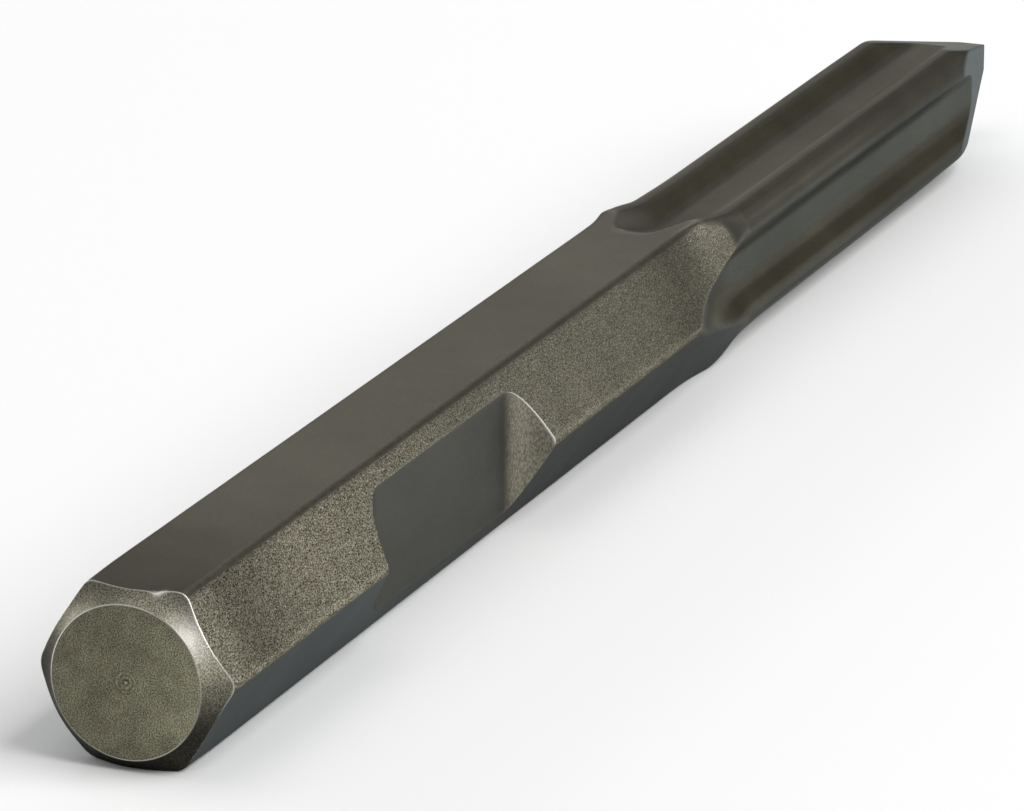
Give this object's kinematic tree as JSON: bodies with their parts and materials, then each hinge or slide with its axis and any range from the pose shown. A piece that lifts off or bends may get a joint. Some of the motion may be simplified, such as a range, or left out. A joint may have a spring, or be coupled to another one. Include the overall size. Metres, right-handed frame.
{
  "type": "point chisel bit",
  "caption": "Pointed chisel bit for a demolition hammer: hexagonal shank with a retainer notch, ribbed self-sharpening working section and square point.",
  "frame": {"origin": "centre of the round striking face at the blunt end of the shank, on the tool's axis", "axes": "+X runs along the tool's axis from the striking face to the point; +Z is the normal of the hexagon's upper flat, and the opposite flat is the one the bit lies on; the retainer notch opens towards -Y"},
  "size_m": [0.4, 0.032, 0.028],
  "materials": {
    "forged_steel": "hardened forged tool steel with a dark grey-brown scale, bright where it was turned and ground"
  },
  "bodies": {
    "root": {"chisel_bit": "forged_steel"}
  },
  "joints": []
}
